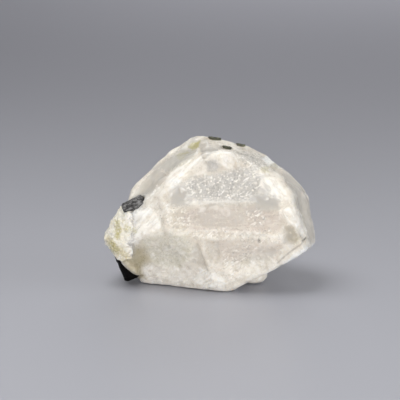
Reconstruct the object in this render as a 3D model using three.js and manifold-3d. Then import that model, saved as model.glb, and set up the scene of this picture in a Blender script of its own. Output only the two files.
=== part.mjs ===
// A rough topaz crystal on the scale of a walnut: a squat, many-sided block, wider than it is high,
// with a steep front that overhangs below its middle ridge, bevelled sides round it and a flat foot.
// Its left end is where it grew from the rock. A crust of pale, grainy feldspar still clings there,
// and two crystals of black tourmaline are grown into the stone beside it. Three thin dark flakes of
// mica lie in its top.
//
// Millimetres, +Z up. The stone's front is towards -Y and its crusted end towards -X. While it is
// being shaped, y is counted from its foremost foot and z from the table. At the end the whole group
// is moved so that the origin is the middle of its footprint.

import * as THREE from "three";
import { ImprovedNoise } from "three/addons/math/ImprovedNoise.js";
import { mergeVertices } from "three/addons/utils/BufferGeometryUtils.js";
import Module from "manifold-3d";

const wasm = await Module();
wasm.setup();

// The point that the stone's facets are measured from, and the half widths of the oval that its
// surface points are spread on
const HEART = new THREE.Vector3(1, 12, 13);
const OVAL = new THREE.Vector3(20, 13, 14);

// How finely the surface is divided, and how near to an arris a point must be to be moved onto it
const FINENESS = 15;
const SNAP = 0.42;

// How far each point is drawn towards the middle of its neighbours, which wears the arrises a little
const RELAX = 0.35;

// The gap between a mineral and the stone that it is grown into
const SEAM = 0.3;

// Each facet: the compass turn of its outward direction (0 faces the front, 90 faces +X), its tilt
// above the horizon, both in degrees, how far it stands from the heart of the stone, and how uneven
// it is
const FACETS = {
  frontUpper: { turn: 2, tilt: 26, reach: 10.8, rough: 1.0 },
  frontLower: { turn: 3, tilt: -6, reach: 13.0, rough: 1.0 },
  frontLeftLow: { turn: -22, tilt: -20, reach: 14.1, rough: 0.6 },
  frontLeftUp: { turn: -38, tilt: 16, reach: 14.6, rough: 1.2 },
  rimLeft: { turn: -64, tilt: 47, reach: 13.4, rough: 0.5 },
  rimTopLeft: { turn: -61, tilt: 63, reach: 13.5, rough: 0.5 },
  top: { turn: 65, tilt: 79, reach: 13.9, rough: 0.6 },
  rimTopRight: { turn: 85, tilt: 61, reach: 13.7, rough: 0.6 },
  rimRightUp: { turn: 81, tilt: 40, reach: 15.9, rough: 0.5 },
  rimRight: { turn: 72, tilt: 17, reach: 17.7, rough: 0.4 },
  rimRightLow: { turn: 57, tilt: -30, reach: 20.4, rough: 0.5 },
  underRight: { turn: 80, tilt: -62, reach: 14.0, rough: 0.7 },
  underLeft: { turn: -75, tilt: -37, reach: 19.7, rough: 0.7 },
  leftEnd: { turn: -97, tilt: 20, reach: 16.4, rough: 1.0 },
  backLeftUp: { turn: -135, tilt: 33, reach: 12.4, rough: 0.8 },
  backLeft: { turn: -145, tilt: -8, reach: 14.0, rough: 0.6 },
  backTop: { turn: 160, tilt: 58, reach: 13.2, rough: 0.8 },
  backUpper: { turn: 176, tilt: 18, reach: 11.8, rough: 0.9 },
  backLower: { turn: 186, tilt: -26, reach: 12.6, rough: 0.7 },
  backRightUp: { turn: 120, tilt: 34, reach: 15.2, rough: 0.7 },
  backRight: { turn: 138, tilt: 4, reach: 15.0, rough: 0.8 },
  rightEnd: { turn: 108, tilt: -6, reach: 17.9, rough: 0.5 },
  backRightLow: { turn: 128, tilt: -38, reach: 15.6, rough: 0.7 },
  foot: { turn: 0, tilt: -90, reach: 13.6, rough: 0.5 },
};

// Shell-shaped breaks: the facet that each one is scooped from, its place, its size along its roll
// and across it, the depth of its middle, and its roll in degrees
const BREAKS = [
  { facet: "frontUpper", at: [11, 2.3, 17.2], size: [6.0, 4.2], depth: 0.5, roll: -20 },
  { facet: "frontUpper", at: [-6, 2.1, 17.8], size: [5.0, 3.0], depth: 0.6, roll: 75 },
  { facet: "frontUpper", at: [7.4, 5.4, 24.0], size: [6.5, 3.6], depth: 0.5, roll: -30 },
  { facet: "frontUpper", at: [3.5, 1.0, 14.6], size: [19, 5.5], depth: 0.6, roll: 2 },
  { facet: "frontLower", at: [16.2, -0.1, 10.6], size: [5.0, 3.4], depth: 1.0, roll: 15 },
  { facet: "frontLower", at: [1.2, -0.6, 7.8], size: [6.4, 3.6], depth: 0.7, roll: 65 },
  { facet: "frontLower", at: [9.4, 0, 6.6], size: [9.5, 4.2], depth: 0.6, roll: 25 },
  { facet: "frontLeftLow", at: [-8.6, 2.6, 6.2], size: [8.5, 6.5], depth: 0.7, roll: 0 },
  { facet: "frontLeftLow", at: [-2.6, 0.4, 3.4], size: [5.0, 3.0], depth: 0.6, roll: 55 },
  { facet: "frontLeftUp", at: [-9.8, 3, 13], size: [5.5, 3.6], depth: 0.4, roll: 35 },
  { facet: "rimLeft", at: [-12.4, 8.2, 18.4], size: [6.5, 5.0], depth: 0.7, roll: 40 },
  { facet: "rimLeft", at: [-8.2, 8.6, 22.0], size: [4.6, 4.0], depth: 0.4, roll: 40 },
  { facet: "rimTopLeft", at: [-4.0, 11.2, 25.6], size: [5.5, 4.6], depth: 0.6, roll: 20 },
  { facet: "top", at: [2.4, 8.8, 27.2], size: [9.0, 3.8], depth: 0.7, roll: 5 },
  { facet: "top", at: [4.6, 15.5, 26.6], size: [7.0, 5.0], depth: 0.4, roll: 30 },
  { facet: "rimTopRight", at: [11, 8.6, 24.0], size: [5.6, 4.0], depth: 0.5, roll: 0 },
  { facet: "rimRightUp", at: [15.6, 10, 20.4], size: [6.0, 4.2], depth: 0.5, roll: 10 },
  { facet: "rimRight", at: [17.9, 6.6, 15], size: [8.5, 4.4], depth: 0.6, roll: 80 },
  { facet: "underRight", at: [10, 13, 2.4], size: [13, 9], depth: 0.9, roll: 30 },
  { facet: "rimRightLow", at: [16.5, 4.0, 6.0], size: [7.0, 3.2], depth: 0.5, roll: 20 },
  { facet: "backUpper", at: [4, 24, 17], size: [13, 9], depth: 1.4, roll: 15 },
  { facet: "backUpper", at: [-6, 23, 20], size: [8, 6], depth: 1.0, roll: -30 },
  { facet: "backTop", at: [6, 20, 24], size: [10, 5], depth: 0.8, roll: 10 },
  { facet: "backLeftUp", at: [-10, 18, 19], size: [9, 7], depth: 0.9, roll: 0 },
  { facet: "backLower", at: [-3, 22, 7], size: [12, 8], depth: 1.1, roll: 10 },
  { facet: "backLower", at: [6, 22, 5], size: [7, 5], depth: 0.8, roll: 40 },
  { facet: "backRight", at: [14, 19, 12], size: [9, 10], depth: 1.0, roll: 0 },
  { facet: "backRightUp", at: [14, 16, 20], size: [8, 5], depth: 0.7, roll: 30 },
  { facet: "backLeft", at: [-9, 21, 9], size: [9, 7], depth: 0.8, roll: 10 },
  { facet: "rightEnd", at: [19, 12, 12], size: [7, 8], depth: 0.7, roll: 0 },
];

// Ledges: a cliff that faces across its roll, so long and so high, above a slope that runs back to
// the facet over a given width
const LEDGES = [
  { facet: "frontUpper", at: [-4.4, 6.3, 23.4], length: 11, height: 1.4, width: 2.6, roll: 44 },
  { facet: "frontUpper", at: [1.8, 3.8, 21.6], length: 13, height: 0.45, width: 4.0, roll: 12 },
  { facet: "frontUpper", at: [11.6, 4.4, 21.4], length: 9, height: 1.0, width: 2.6, roll: -48 },
  { facet: "frontUpper", at: [15.6, 1.6, 14.6], length: 6.5, height: 0.9, width: 3.0, roll: -62 },
  { facet: "frontUpper", at: [4.4, -0.5, 12.2], length: 17, height: 0.45, width: 2.2, roll: 182 },
  { facet: "frontUpper", at: [-3.5, 1.4, 15.6], length: 8, height: 0.4, width: 3.0, roll: 200 },
  { facet: "frontLower", at: [-1.6, -0.7, 7.4], length: 7, height: 0.7, width: 2.6, roll: 118 },
  { facet: "frontLower", at: [8, 0, 4.4], length: 9, height: 0.5, width: 3.0, roll: 205 },
  { facet: "frontLeftUp", at: [-9.6, 3.4, 15.6], length: 9, height: 0.7, width: 3.4, roll: 58 },
  { facet: "frontLeftUp", at: [-12.4, 4.2, 12.6], length: 8, height: 0.5, width: 3.0, roll: 28 },
  { facet: "backUpper", at: [8, 22.6, 20.4], length: 12, height: 0.9, width: 3.4, roll: 28 },
  { facet: "backUpper", at: [-2, 23.4, 13], length: 14, height: 0.8, width: 3.6, roll: 185 },
  { facet: "backLower", at: [2, 22, 4.6], length: 11, height: 0.7, width: 3.0, roll: 170 },
  { facet: "backRight", at: [15.6, 16, 15.4], length: 9, height: 0.7, width: 3.0, roll: 60 },
  { facet: "backTop", at: [-2, 19.4, 25.4], length: 8, height: 0.6, width: 3.0, roll: 20 },
];

// Rounded swellings: size along the roll and across it, and how far the middle stands out
const LUMPS = [
  { facet: "frontUpper", at: [2.4, 6.2, 25.4], size: [8.0, 4.4], height: 1.3, roll: 0 },
  { facet: "frontUpper", at: [15.4, 1.8, 15.6], size: [5.0, 5.6], height: 0.6, roll: 0 },
  { facet: "frontLeftUp", at: [-13.0, 4.8, 14.4], size: [8.0, 6.0], height: 0.6, roll: 30 },
  { facet: "rimRightUp", at: [13.6, 6.6, 22.0], size: [4.4, 3.2], height: 0.5, roll: 40 },
  { facet: "frontLower", at: [4.6, -0.4, 3.2], size: [7.0, 4.6], height: 0.5, roll: 0 },
  { facet: "backLower", at: [-8, 20, 3.4], size: [8.0, 6.0], height: 0.7, roll: 0 },
  { facet: "backTop", at: [0, 17, 26.4], size: [8.0, 5.0], height: 0.5, roll: 0 },
];

// The small tooth at the top of the left-hand ledge, and the round knob that props up the right side
const TOOTH = { at: [-1.9, 7.0, 25.8], radius: 0.9, height: 2.0 };
const KNOB = { at: [8.6, 7.0, 1.7], size: [5.8, 5.0, 4.4], dip: 0 };

// The lip of stone that runs down over the lower tourmaline
const LIP = { at: [-14.9, 6.8, 3.9], size: [6.6, 5.2, 2.6], dip: 43 };

// The feldspar crust: overlapping mounds with a grainy surface, each at a place with its half widths
const CRUST = [
  { at: [-17.7, 8.2, 8.8], half: [2.5, 3.6, 2.2] },
  { at: [-16.7, 8.0, 10.4], half: [2.3, 3.4, 2.3] },
  { at: [-15.8, 7.8, 12.1], half: [2.0, 3.0, 2.1] },
  { at: [-15.2, 7.4, 13.2], half: [1.8, 2.4, 1.6] },
  { at: [-16.5, 8.0, 7.2], half: [2.3, 3.2, 2.1] },
  { at: [-15.4, 7.6, 9.4], half: [2.3, 3.2, 2.6] },
  { at: [-15.7, 11.4, 9.2], half: [2.7, 4.0, 2.9] },
  { at: [-14.5, 13.4, 10.8], half: [2.2, 3.0, 2.2] },
];
const CRUST_GRAINS = [
  { spacing: 2.3, height: 0.6 },
  { spacing: 1.1, height: 0.5 },
];

// The black tourmaline crystals: the two ends of each one's axis, its radius at either end, how much
// the radius is drawn out across the axis, how many ribs run along it and how deep the grooves
// between them are
const TOURMALINES = {
  tourmaline_upper: {
    from: [-16.3, 6.2, 15.0],
    to: [-12.3, 6.4, 16.5],
    radii: [0.95, 1.3],
    drawn: 0.12,
    ribs: 5,
    groove: 0.12,
  },
  tourmaline_lower: {
    from: [-16.3, 8.0, 6.0],
    to: [-14.7, 7.2, 0.8],
    radii: [1.75, 1.3],
    drawn: 0.14,
    ribs: 6,
    groove: 0.05,
  },
};

// The mica flakes: a place near each, its length and width, its roll in the top of the stone, its
// thickness and how much of that stands out
const FLAKES = {
  mica_flake_left: { at: [1.1, 13.3, 27.3], size: [2.7, 1.2], roll: 8, thickness: 0.5, proud: 0.14 },
  mica_flake_middle: { at: [3.5, 10.6, 26.6], size: [2.0, 1.0], roll: -12, thickness: 0.5, proud: 0.14 },
  mica_flake_right: { at: [6.4, 13.2, 26.3], size: [1.9, 0.9], roll: -5, thickness: 0.5, proud: 0.2 },
};

// Low swells, then finer unevenness: the spacing and the height of each
const SWELLS = [
  { spacing: 7.5, height: 0.5 },
  { spacing: 3.1, height: 0.26 },
  { spacing: 1.4, height: 0.1 },
];

const noise = new ImprovedNoise();

// A facet's outward direction
function outward({ turn, tilt }) {
  const t = THREE.MathUtils.degToRad(turn);
  const e = THREE.MathUtils.degToRad(tilt);
  return new THREE.Vector3(Math.sin(t) * Math.cos(e), -Math.cos(t) * Math.cos(e), Math.sin(e));
}

const PLANES = Object.values(FACETS).map((facet) => ({ ...facet, out: outward(facet) }));

// A frame of reference on a facet, at its point nearest to a given place: +Z out of the stone and +X
// level, to the right as one looks at the facet, then turned anticlockwise by the roll
function facetFrame(name, place, roll) {
  const facet = FACETS[name];
  const out = outward(facet);
  const point = new THREE.Vector3(...place);
  point.addScaledVector(out, facet.reach - out.dot(point.clone().sub(HEART)));
  const right = new THREE.Vector3(0, 0, 1).cross(out).normalize();
  const up = out.clone().cross(right);
  return new THREE.Matrix4()
    .makeBasis(right, up, out)
    .setPosition(point)
    .multiply(new THREE.Matrix4().makeRotationZ(THREE.MathUtils.degToRad(roll)));
}

// The rise or fall that a break, a ledge or a lump gives at a place in its own frame
function breakRise({ size, depth }, q, ragged) {
  const r = Math.hypot((2 * q.x) / size[0], (2 * q.y) / size[1]) * ragged;
  return r < 1 ? -depth * (1 - r * r) : 0;
}

function ledgeRise({ length, height, width }, q, ragged) {
  const along = Math.abs((2 * q.x) / length) * ragged;
  const back = (q.y + 0.8 * (ragged - 1) * width) / width;
  if (along >= 1 || back <= 0 || back >= 1) return 0;
  return -height * (1 - back) * Math.sqrt(1 - along);
}

function lumpRise({ size, height }, q, ragged) {
  const r = Math.hypot((2 * q.x) / size[0], (2 * q.y) / size[1]) * ragged;
  return r < 1 ? height * (1 - r * r) ** 1.5 : 0;
}

// Every feature with the way into its own frame and its rise
const FEATURES = [
  ...BREAKS.map((each) => ({ each, rise: breakRise })),
  ...LEDGES.map((each) => ({ each, rise: ledgeRise })),
  ...LUMPS.map((each) => ({ each, rise: lumpRise })),
].map(({ each, rise }) => ({
  each,
  rise,
  inward: facetFrame(each.facet, each.at, each.roll).invert(),
  out: outward(FACETS[each.facet]),
}));

// A solid made from a closed geometry
function solidOf(geometry) {
  const bare = geometry.index ? geometry.toNonIndexed() : geometry;
  const points = new THREE.BufferGeometry().setAttribute("position", bare.getAttribute("position"));
  const merged = mergeVertices(points, 1e-4);
  return new wasm.Manifold(
    new wasm.Mesh({
      numProp: 3,
      vertProperties: merged.getAttribute("position").array,
      triVerts: new Uint32Array(merged.index.array),
    }),
  );
}

// The geometry of a solid
function geometryOf(solid) {
  const mesh = solid.getMesh();
  return new THREE.BufferGeometry()
    .setAttribute("position", new THREE.BufferAttribute(new Float32Array(mesh.vertProperties), 3))
    .setIndex(new THREE.BufferAttribute(new Uint32Array(mesh.triVerts), 1));
}

// The point where a line from the heart leaves the facets, moved onto an arris if one is near, with
// the direction that the surface faces there and its unevenness
function onFacets(direction) {
  const byDistance = PLANES.map((plane) => ({ plane, facing: plane.out.dot(direction) }))
    .filter(({ facing }) => facing > 1e-6)
    .map(({ plane, facing }) => ({ plane, distance: plane.reach / facing }))
    .sort((a, b) => a.distance - b.distance);
  const first = byDistance[0].plane;
  const point = direction.clone().multiplyScalar(byDistance[0].distance);
  const face = first.out.clone();
  let rough = first.rough;
  for (const { plane } of byDistance.slice(1, 3)) {
    const cosine = first.out.dot(plane.out);
    const towards = plane.out.clone().addScaledVector(first.out, -cosine);
    const sine = towards.length();
    const short = (plane.reach - plane.out.dot(point)) / sine;
    if (short < SNAP) {
      point.addScaledVector(towards, short / sine);
      face.add(plane.out);
      rough = (rough + plane.rough) / 2;
    }
  }
  return { point: point.add(HEART), face: face.normalize(), rough };
}

// How far the surface stands in or out at a point that faces a given way
function riseAt(point, face) {
  const raggedness = noise.noise(point.x / 1.9, point.y / 1.9, point.z / 1.9);
  let rise = 0;
  for (const { each, rise: shape, inward, out } of FEATURES) {
    if (out.dot(face) > 0.8) {
      rise += shape(each, point.clone().applyMatrix4(inward), 1 + 0.3 * raggedness);
    }
  }
  return rise;
}

// The swell of the surface at a point, as a small shift
function swellAt(point) {
  const shift = new THREE.Vector3();
  for (const { spacing, height } of SWELLS) {
    const q = point.clone().divideScalar(spacing);
    shift.x += height * noise.noise(q.x, q.y, q.z);
    shift.y += height * noise.noise(q.x + 31, q.y, q.z);
    shift.z += height * noise.noise(q.x, q.y + 47, q.z);
  }
  return shift;
}

// The point of the roughened surface that lies in a given direction from the heart
function surfaceTowards(direction) {
  const { point, face, rough } = onFacets(direction);
  const swell = swellAt(point).multiplyScalar(rough);
  return point.clone().addScaledVector(face, riseAt(point, face)).add(swell);
}

// The same geometry with every point drawn part of the way to the middle of its neighbours
function relaxed(geometry, strength) {
  const points = geometry.getAttribute("position");
  const index = geometry.index.array;
  const around = Array.from({ length: points.count }, () => new Set());
  for (let i = 0; i < index.length; i += 3) {
    for (const [a, b] of [[0, 1], [1, 2], [2, 0]]) {
      around[index[i + a]].add(index[i + b]);
      around[index[i + b]].add(index[i + a]);
    }
  }
  const at = (i) => new THREE.Vector3().fromBufferAttribute(points, i);
  const moved = around.map((near, i) => {
    const middle = new THREE.Vector3();
    for (const j of near) middle.add(at(j));
    return at(i).lerp(middle.divideScalar(near.size), strength);
  });
  moved.forEach((p, i) => points.setXYZ(i, p.x, p.y, p.z));
  return geometry;
}

// The rough stone, with its tooth and its knob
function roughStone() {
  const oval = new THREE.IcosahedronGeometry(1, FINENESS).rotateX(0.3).scale(...OVAL.toArray());
  oval.deleteAttribute("normal");
  oval.deleteAttribute("uv");
  const shape = mergeVertices(oval, 1e-4);
  const points = shape.getAttribute("position");
  for (let i = 0; i < points.count; i += 1) {
    const p = surfaceTowards(new THREE.Vector3().fromBufferAttribute(points, i).normalize());
    points.setXYZ(i, p.x, p.y, p.z);
  }
  const tooth = new THREE.ConeGeometry(TOOTH.radius, TOOTH.height, 5).rotateX(Math.PI / 2);
  const swollen = [KNOB, LIP].map(({ at, size, dip }) => {
    const round = new THREE.IcosahedronGeometry(0.5, 4).scale(...size);
    return solidOf(round.rotateY(THREE.MathUtils.degToRad(dip)).translate(...at));
  });
  return swollen.reduce(
    (whole, lump) => whole.add(lump),
    solidOf(relaxed(shape, RELAX)).add(solidOf(tooth.translate(...TOOTH.at))),
  );
}

// Everything below the table
function underTable() {
  return solidOf(new THREE.BoxGeometry(90, 90, 20).translate(0, 0, -10));
}

// The crust, or with a growth above zero the pocket that it lies in
function crust(growth) {
  const mounds = CRUST.map(({ at, half }) => {
    const mound = new THREE.IcosahedronGeometry(1, 4);
    const points = mound.getAttribute("position");
    for (let i = 0; i < points.count; i += 1) {
      const way = new THREE.Vector3().fromBufferAttribute(points, i);
      const p = way.clone().multiply(new THREE.Vector3(...half)).add(new THREE.Vector3(...at));
      let rise = growth;
      for (const { spacing, height } of CRUST_GRAINS) {
        rise += height * noise.noise(p.x / spacing, p.y / spacing, p.z / spacing);
      }
      p.addScaledVector(way, rise);
      points.setXYZ(i, p.x, p.y, p.z);
    }
    return solidOf(mound);
  });
  return mounds.reduce((whole, mound) => whole.add(mound));
}

// A ribbed prism of tourmaline with a low point at each end, or the pocket that it is grown into
function tourmaline({ from, to, radii, drawn, ribs, groove }, growth) {
  const start = new THREE.Vector3(...from);
  const axis = new THREE.Vector3(...to).sub(start);
  const length = axis.length();
  const sides = 2 * ribs;
  const rings = [
    { z: -growth, scale: 0.62, radius: radii[0] },
    { z: 0.3 - growth, scale: 1, radius: radii[0] },
    { z: length - 0.3 + growth, scale: 1, radius: radii[1] },
    { z: length + growth, scale: 0.62, radius: radii[1] },
  ];
  const points = rings.flatMap(({ z, scale, radius }) =>
    Array.from({ length: sides }, (_, k) => {
      const angle = (k * 2 * Math.PI) / sides;
      const round = radius * (1 + drawn * Math.cos(2 * angle + radius));
      const r = (round + growth - (k % 2) * groove) * scale;
      return [r * Math.cos(angle), r * Math.sin(angle), z];
    }),
  );
  const ends = [points.length, points.length + 1];
  points.push([0, 0, -growth - 0.1], [0, 0, length + growth + 0.1]);
  const faces = [];
  for (let k = 0; k < sides; k += 1) {
    const next = (k + 1) % sides;
    for (let ring = 0; ring < rings.length - 1; ring += 1) {
      const [a, b] = [ring * sides + k, ring * sides + next];
      faces.push(a, b, b + sides, a, b + sides, a + sides);
    }
    const last = (rings.length - 1) * sides;
    faces.push(ends[0], next, k, ends[1], last + k, last + next);
  }
  const shape = new THREE.BufferGeometry().setIndex(faces);
  shape.setAttribute("position", new THREE.Float32BufferAttribute(points.flat(), 3));
  const turn = new THREE.Quaternion().setFromUnitVectors(new THREE.Vector3(0, 0, 1), axis.normalize());
  return solidOf(shape.applyQuaternion(turn).translate(...start.toArray()));
}

// A seven-sided flake of mica let into the top, or its pocket
function flake({ at, size, roll, thickness, proud }, growth) {
  const place = surfaceTowards(new THREE.Vector3(...at).sub(HEART).normalize());
  const plate = new THREE.CylinderGeometry(1, 0.86, thickness + 2 * growth, 7).rotateX(Math.PI / 2);
  plate.scale(size[0] / 2 + growth, size[1] / 2 + growth, 1);
  plate.rotateZ(THREE.MathUtils.degToRad(roll)).translate(0, 0, proud - thickness / 2);
  const turn = new THREE.Quaternion().setFromUnitVectors(
    new THREE.Vector3(0, 0, 1),
    outward(FACETS.top),
  );
  return solidOf(plate.applyQuaternion(turn).translate(...place.toArray()));
}

// The largest body of a solid, without the crumbs that the pockets cut loose
function largestBody(solid) {
  return solid.decompose().reduce((most, body) => (body.volume() > most.volume() ? body : most));
}

// The topaz, with a pocket for every mineral that is grown into it
function topazSolid() {
  let solid = roughStone().subtract(underTable()).subtract(crust(SEAM));
  for (const each of Object.values(TOURMALINES)) solid = solid.subtract(tourmaline(each, SEAM));
  for (const each of Object.values(FLAKES)) solid = solid.subtract(flake(each, SEAM));
  return largestBody(solid);
}

// The crust, with a pocket for each tourmaline
function crustSolid() {
  let solid = crust(0);
  for (const each of Object.values(TOURMALINES)) solid = solid.subtract(tourmaline(each, SEAM));
  return largestBody(solid);
}

const stone = new THREE.Group();

// Adds a named mineral with its own finish to the stone
function addMineral(name, solid, color, roughness) {
  const finish = new THREE.MeshStandardMaterial({ color, roughness, metalness: 0 });
  const mesh = new THREE.Mesh(geometryOf(solid), finish);
  mesh.name = name;
  stone.add(mesh);
}

addMineral("topaz_crystal", topazSolid(), 0xdcd7cc, 0.35);
addMineral("feldspar_crust", crustSolid(), 0xe9e2c8, 0.85);
for (const [name, each] of Object.entries(TOURMALINES)) {
  addMineral(name, tourmaline(each, 0), 0x1b1b1e, 0.4);
}
for (const [name, each] of Object.entries(FLAKES)) {
  addMineral(name, flake(each, 0), 0x3a3d2e, 0.35);
}

// The origin goes to the middle of the footprint
const bounds = new THREE.Box3().setFromObject(stone);
const middle = bounds.getCenter(new THREE.Vector3());
for (const mesh of stone.children) mesh.geometry.translate(-middle.x, -middle.y, -bounds.min.z);

export default stone;
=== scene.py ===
"""The looks of a rough topaz crystal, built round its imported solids.

The stone is etched, milky and fractured in places and clear in others. A grainy feldspar crust,
two black tourmaline crystals and three mica flakes are grown into it. Where nothing else is said,
lengths are in millimetres in the part's own frame: the front faces -Y and the crusted end -X.
"""

from __future__ import annotations

import logging
import math
from dataclasses import dataclass, replace
from enum import Enum
from typing import Mapping, Sequence, Union

import bpy
import numpy as np
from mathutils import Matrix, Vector
from mathutils.bvhtree import BVHTree

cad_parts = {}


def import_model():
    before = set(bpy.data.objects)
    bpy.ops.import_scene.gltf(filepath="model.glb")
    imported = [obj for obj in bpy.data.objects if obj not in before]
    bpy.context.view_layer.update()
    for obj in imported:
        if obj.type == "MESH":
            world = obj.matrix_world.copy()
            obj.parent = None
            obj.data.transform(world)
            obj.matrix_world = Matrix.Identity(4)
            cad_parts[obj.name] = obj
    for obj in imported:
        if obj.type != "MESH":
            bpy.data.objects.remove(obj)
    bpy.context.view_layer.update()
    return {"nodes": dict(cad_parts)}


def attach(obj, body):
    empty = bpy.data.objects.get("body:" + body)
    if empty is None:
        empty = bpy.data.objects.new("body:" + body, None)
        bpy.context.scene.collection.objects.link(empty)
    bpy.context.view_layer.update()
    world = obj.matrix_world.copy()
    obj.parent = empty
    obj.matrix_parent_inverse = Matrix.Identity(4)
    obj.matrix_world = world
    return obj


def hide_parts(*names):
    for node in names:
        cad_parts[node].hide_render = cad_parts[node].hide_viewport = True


Colour = tuple[float, float, float]
Point = tuple[float, float, float]
Pair = tuple[float, float]

LOG = logging.getLogger("topaz")
MM = 0.001
TENTHS = 10
BODY = "root"

# The view of the photograph: the place it looks at, its angle above the level and its distance
MIDDLE: Point = (-1.95, 0.0, 15.26)
LEAN = 14.0
DISTANCE = 600.0

# A pattern's axes when they are left as they are, and the share of a cover that can be frayed
NO_STRETCH: Point = (1.0, 1.0, 1.0)
NO_TURN: Point = (0.0, 0.0, 0.0)
FRAY = 0.25

# The name that the height of the arrises is stored under
ARRIS = "arris"


# What is seen on the front of the stone


class Layer(Enum):
    """A kind of surface, or of relief, that marks are drawn in. FRONT is what faces the view. The
    cool layer also holds a painted highlight at the top right.
    """

    WHITE = "white"
    SPARKLE = "sparkle"
    CLEAR = "clear"
    GREY = "grey"
    ROSY = "rosy"
    MOSSY = "mossy"
    PALE = "pale"
    OLIVE = "olive"
    STAIN = "stain"
    COOL_AND_HIGHLIGHT = "cool_and_highlight"
    DARK = "dark"
    RAISED = "raised"
    SUNKEN = "sunken"
    FRONT = "front"


RELIEF_LAYERS = (Layer.RAISED, Layer.SUNKEN)


@dataclass(frozen=True)
class Mark:
    """One area, or with a width one stroke, drawn on the front.

    Its points are in tenths of a millimetre, across and up in turn, on a sheet that leans with
    the front and passes through the middle of the stone. Its soft edge and width are in
    millimetres.
    """

    points: tuple[int, ...]
    strength: float = 1.0
    soft: float = 0.4
    width: float = 0.0

    def cover(self, across: np.ndarray, up: np.ndarray) -> np.ndarray:
        """How far the mark covers each place of the sheet.

        Args:
            across: the places' distance across.
            up: the places' distance up.

        Returns:
            From 0 to the mark's strength.
        """
        whole = np.zeros(len(across))
        points = np.array(self.points).reshape(-1, 2) / TENTHS
        reach = self.width / 2 + self.soft
        low, high = points.min(0) - reach, points.max(0) + reach
        near = (across > low[0]) & (across < high[0]) & (up > low[1]) & (up < high[1])
        x, y = across[near], up[near]
        distance = np.full(len(x), np.inf)
        inside = np.zeros(len(x), bool)
        sides = len(points) - (1 if self.width else 0)
        for k in range(sides):
            (ax, ay), (bx, by) = points[k], points[(k + 1) % len(points)]
            along = (x - ax) * (bx - ax) + (y - ay) * (by - ay)
            along = np.clip(along / ((bx - ax) ** 2 + (by - ay) ** 2), 0, 1)
            off_side = np.hypot(x - ax - along * (bx - ax), y - ay - along * (by - ay))
            distance = np.minimum(distance, off_side)
            if by != ay:
                crossed = (ay > y) != (by > y)
                inside ^= crossed & (x < ax + (y - ay) * (bx - ax) / (by - ay))
        outside = distance - self.width / 2 if self.width else np.where(inside, -distance, distance)
        whole[near] = np.clip(0.5 - outside / self.soft, 0, 1) * self.strength
        return whole


Marks = Mapping[Layer, Sequence[Mark]]

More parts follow.
